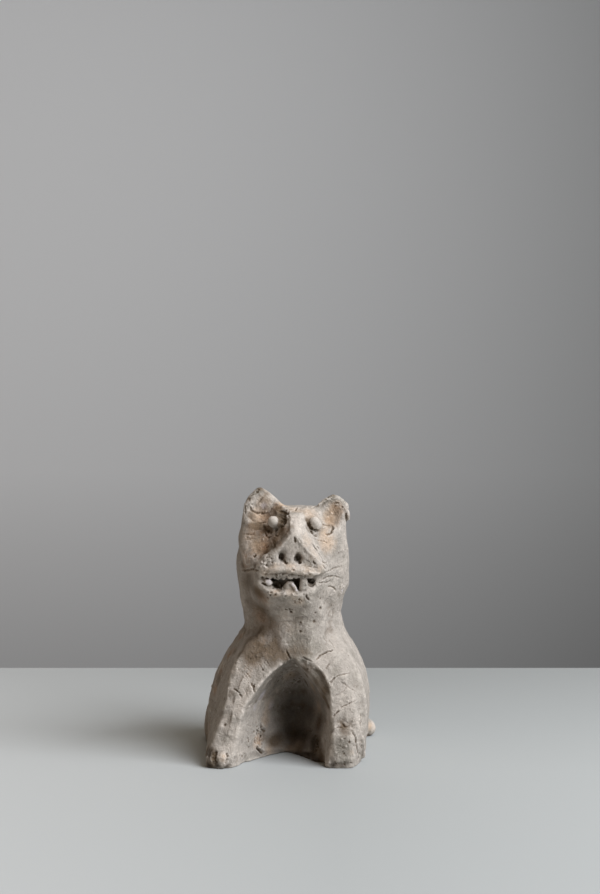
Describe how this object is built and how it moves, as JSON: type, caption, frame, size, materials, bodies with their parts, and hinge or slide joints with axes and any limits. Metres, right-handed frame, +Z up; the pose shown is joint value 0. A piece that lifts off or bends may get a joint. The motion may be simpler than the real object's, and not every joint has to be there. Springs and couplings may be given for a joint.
{
  "type": "tile cat figure",
  "caption": "Hand-modelled seated cat in fired clay with an open, toothed mouth and a deep hollow between its forelegs; stands on its flat underside as a small ornament.",
  "frame": {"origin": "on the ground, under the middle of the figure's box", "axes": "+Z up, the face looks along -Y, the cat's left paw is at +X"},
  "size_m": [0.0945, 0.0918, 0.1392],
  "materials": {
    "fired_clay": "matt, unglazed, buff with grey smoke clouds"
  },
  "bodies": {
    "root": {"tile_cat": "fired_clay"}
  },
  "joints": []
}
